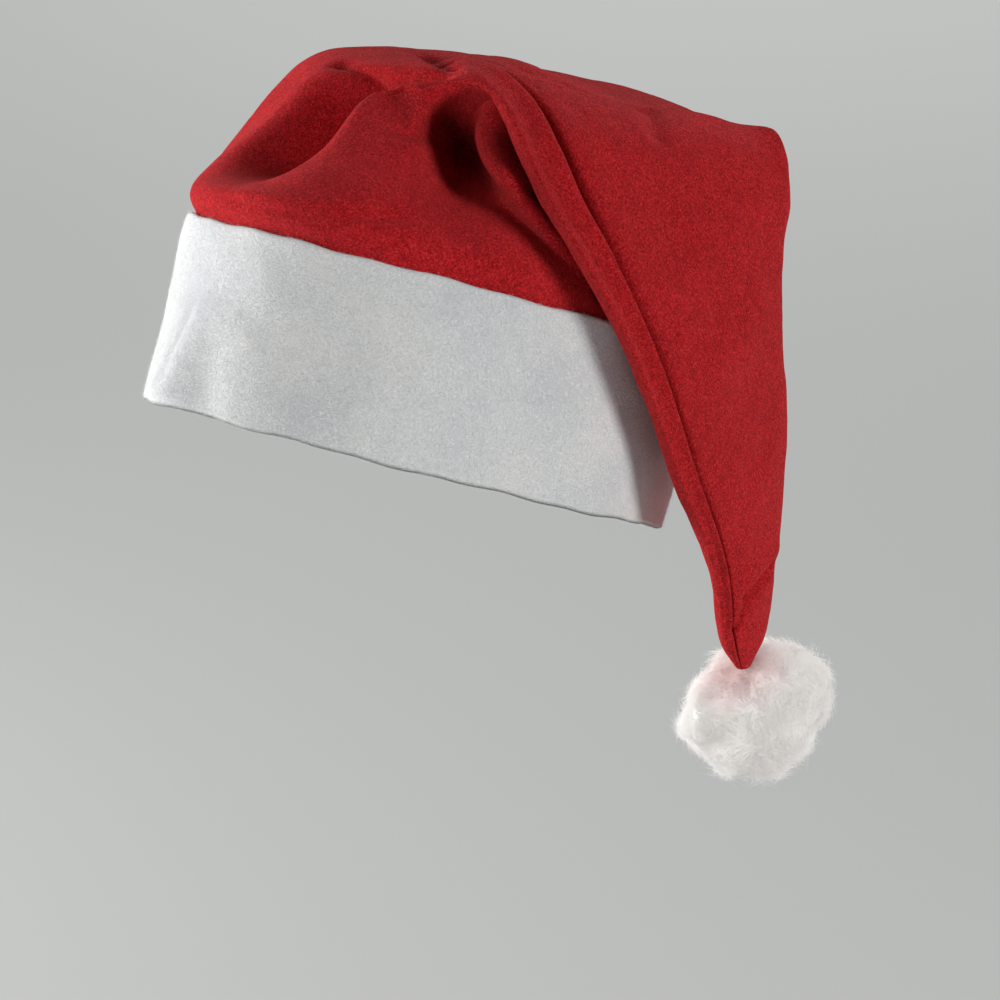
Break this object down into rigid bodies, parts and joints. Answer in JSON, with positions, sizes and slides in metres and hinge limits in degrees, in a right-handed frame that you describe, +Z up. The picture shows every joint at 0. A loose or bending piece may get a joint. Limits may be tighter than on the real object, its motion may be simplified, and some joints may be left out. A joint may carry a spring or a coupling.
{
  "type": "santa hat",
  "caption": "Red felt Santa hat shaped as worn: wide white band, buckled crown, tail folded over and hanging flat below the rim with a fluffy white pompom.",
  "frame": {"origin": "centre of the rim's opening, where the hat sits on a wearer's brow", "axes": "+Z up as worn, -Y the way the wearer looks, +X the wearer's left; the rim's plane is tipped back 20 degrees about X"},
  "size_m": [0.199, 0.2308, 0.2662],
  "materials": {
    "red_felt": "matte napped felt",
    "white_felt": "matte fluffy felt",
    "white_fluff": "matte loose fibre"
  },
  "bodies": {
    "root": {"crown_cone": "red_felt", "band": "white_felt", "pompom": "white_fluff"}
  },
  "joints": []
}
